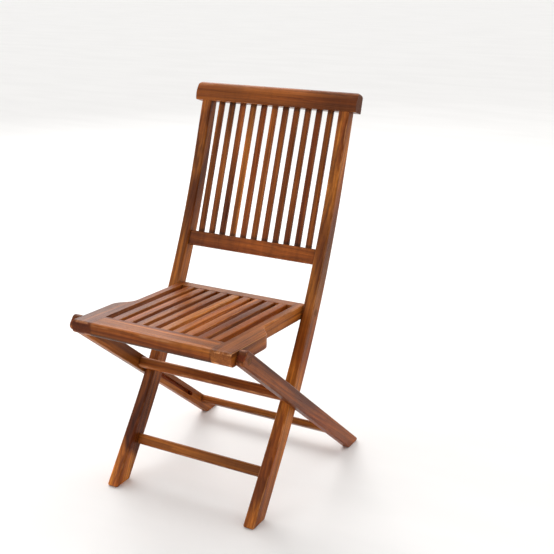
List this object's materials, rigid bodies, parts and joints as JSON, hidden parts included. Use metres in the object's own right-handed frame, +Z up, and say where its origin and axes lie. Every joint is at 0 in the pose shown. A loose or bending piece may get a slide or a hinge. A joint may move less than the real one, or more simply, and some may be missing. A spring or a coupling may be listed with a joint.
{
  "type": "folding chair",
  "caption": "Slatted wooden folding chair: curved back posts run down into the front legs, the seat hinges between them, and crossing rear legs slide on pins as it folds flat.",
  "frame": {"origin": "on the floor, in the middle of the open chair's outline seen from above", "axes": "+Z up, the sitter faces -Y, +X to the viewer's right seen from the front"},
  "size_m": [0.4488, 0.5737, 0.89],
  "materials": {
    "teak_frame": "oiled, satin to semi-gloss",
    "teak_slat": "oiled, satin to semi-gloss",
    "wood_plug": "oiled, end grain",
    "steel_pin": "plain turned steel"
  },
  "bodies": {
    "back_frame": {"right_post": "teak_frame", "left_post": "teak_frame", "top_rail": "teak_frame", "lower_back_rail": "teak_frame", "back_slat_01": "teak_slat", "back_slat_02": "teak_slat", "back_slat_03": "teak_slat", "back_slat_04": "teak_slat", "back_slat_05": "teak_slat", "back_slat_06": "teak_slat", "back_slat_07": "teak_slat", "back_slat_08": "teak_slat", "back_slat_09": "teak_slat", "back_slat_10": "teak_slat", "back_slat_11": "teak_slat", "front_stretcher": "teak_frame", "right_seat_pivot_pin": "steel_pin", "left_seat_pivot_pin": "steel_pin", "right_post_plug": "wood_plug", "left_post_plug": "wood_plug", "right_crossing_bolt": "steel_pin", "left_crossing_bolt": "steel_pin"},
    "seat": {"right_seat_side": "teak_frame", "left_seat_side": "teak_frame", "seat_front_rail": "teak_frame", "seat_rear_rail": "teak_frame", "seat_slat_1": "teak_slat", "seat_slat_2": "teak_slat", "seat_slat_3": "teak_slat", "seat_slat_4": "teak_slat", "seat_slat_5": "teak_slat", "seat_slat_6": "teak_slat", "seat_slat_7": "teak_slat", "seat_slat_8": "teak_slat", "seat_slat_9": "teak_slat"},
    "rear_leg_frame": {"right_rear_leg": "teak_frame", "left_rear_leg": "teak_frame", "upper_stretcher": "teak_frame", "lower_stretcher": "teak_frame", "right_leg_pivot_pin": "steel_pin", "left_leg_pivot_pin": "steel_pin", "right_leg_plug": "wood_plug", "left_leg_plug": "wood_plug"},
    "slot_pins": {"right_slot_pin": "steel_pin", "left_slot_pin": "steel_pin"}
  },
  "joints": [
    {"name": "seat_fold", "type": "hinge", "parent": "back_frame", "child": "seat", "pos_m": [0, 0.08672, 0.41172], "axis": [-1, 0, 0], "range_deg": [0, 90]},
    {"name": "leg_fold", "type": "hinge", "parent": "seat", "child": "rear_leg_frame", "pos_m": [0, -0.25006, 0.42533], "axis": [1, 0, 0], "range_deg": [0, 26.9]},
    {"name": "slot_pin_slide", "type": "slide", "parent": "rear_leg_frame", "child": "slot_pins", "axis": [0, 0.7683, -0.6401], "range_m": [0, 0.22839]}
  ],
  "couplings": [
    {"joint": "leg_fold", "follows": "seat_fold", "ratio": 0.29832},
    {"joint": "slot_pin_slide", "follows": "seat_fold", "m_per_rad": 0.14521}
  ]
}
